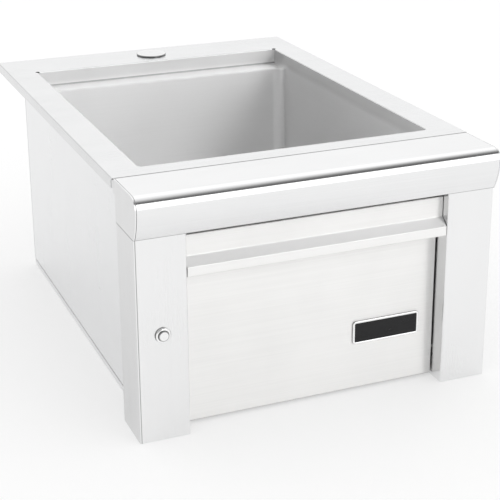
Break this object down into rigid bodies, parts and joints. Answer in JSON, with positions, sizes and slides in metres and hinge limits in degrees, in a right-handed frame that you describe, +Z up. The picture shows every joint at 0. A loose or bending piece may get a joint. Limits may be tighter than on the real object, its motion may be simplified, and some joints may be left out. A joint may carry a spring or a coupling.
{
  "type": "outdoor sink",
  "caption": "Drop-in outdoor sink in satin steel: a deep bowl in a folded box, a rounded front rail on two legs, a drop-down access door and a push button.",
  "frame": {"origin": "under the middle of the deck and rail, on the plane that the base and the legs stand on", "axes": "+X to the right seen from the front, +Y to the back, +Z up"},
  "size_m": [0.4572, 0.6716, 0.3026],
  "materials": {
    "deck_steel": "satin, grain from side to side",
    "bowl_steel": "satin",
    "trim_steel": "satin, grain along the rail",
    "leg_steel": "satin, upright grain",
    "box_steel": "mill finish",
    "door_steel": "satin, grain from side to side",
    "bright_steel": "polished",
    "plate_dark": "satin dark enamel, bare",
    "cap_steel": "turned",
    "spring_steel": "drawn wire",
    "screw_steel": "plain",
    "black_rubber": "matt",
    "pad_rubber": "matt bitumen pad",
    "black_plastic": "moulded",
    "white_plastic": "moulded",
    "magnet_black": "sintered block",
    "brass_plain": "plain"
  },
  "bodies": {
    "sink": {"deck": "deck_steel", "basin": "bowl_steel", "basin_pads": "pad_rubber", "front_rail": "trim_steel", "left_leg": "leg_steel", "right_leg": "leg_steel", "leg_bolts": "screw_steel", "left_side_panel": "box_steel", "right_side_panel": "box_steel", "back_panel": "box_steel", "back_screws": "screw_steel", "bottom_pan": "box_steel", "crossbar": "box_steel", "front_sill": "box_steel", "hinge_pins": "screw_steel", "stop_pins": "screw_steel", "catch_bodies": "black_plastic", "catch_magnets": "magnet_black", "door_bumpers": "black_rubber", "button_bezel": "bright_steel", "button_seal": "black_rubber", "button_spring": "spring_steel", "button_nut": "brass_plain", "switch_body": "black_plastic", "tap_hole_cover": "cap_steel", "cover_seal": "black_rubber", "cover_washer": "screw_steel", "cover_wing_nut": "brass_plain", "strainer_body": "cap_steel", "drain_gasket": "black_rubber", "slip_washer": "white_plastic", "drain_locknut": "brass_plain"},
    "door": {"door_panel": "door_steel", "door_pull": "door_steel", "door_cover": "box_steel", "hinge_bushes": "white_plastic", "catch_strikes": "box_steel", "plate_rim": "bright_steel", "plate_face": "plate_dark"},
    "button": {"button_cap": "cap_steel"},
    "basket": {"strainer_basket": "cap_steel", "basket_knob": "cap_steel", "basket_stopper": "black_rubber"}
  },
  "joints": [
    {"name": "door_hinge", "type": "hinge", "parent": "sink", "child": "door", "pos_m": [0, -0.29465, 0.023], "axis": [1, 0, 0], "range_deg": [0, 87]},
    {"name": "button_press", "type": "slide", "parent": "sink", "child": "button", "axis": [0, 1, 0], "range_m": [0, 0.0025], "stiffness_N_per_m": 800, "springref_m": -0.0015, "deforming": ["button_spring"]},
    {"name": "basket_lift", "type": "slide", "parent": "sink", "child": "basket", "axis": [0, 0, 1], "range_m": [0, 0.26]}
  ]
}
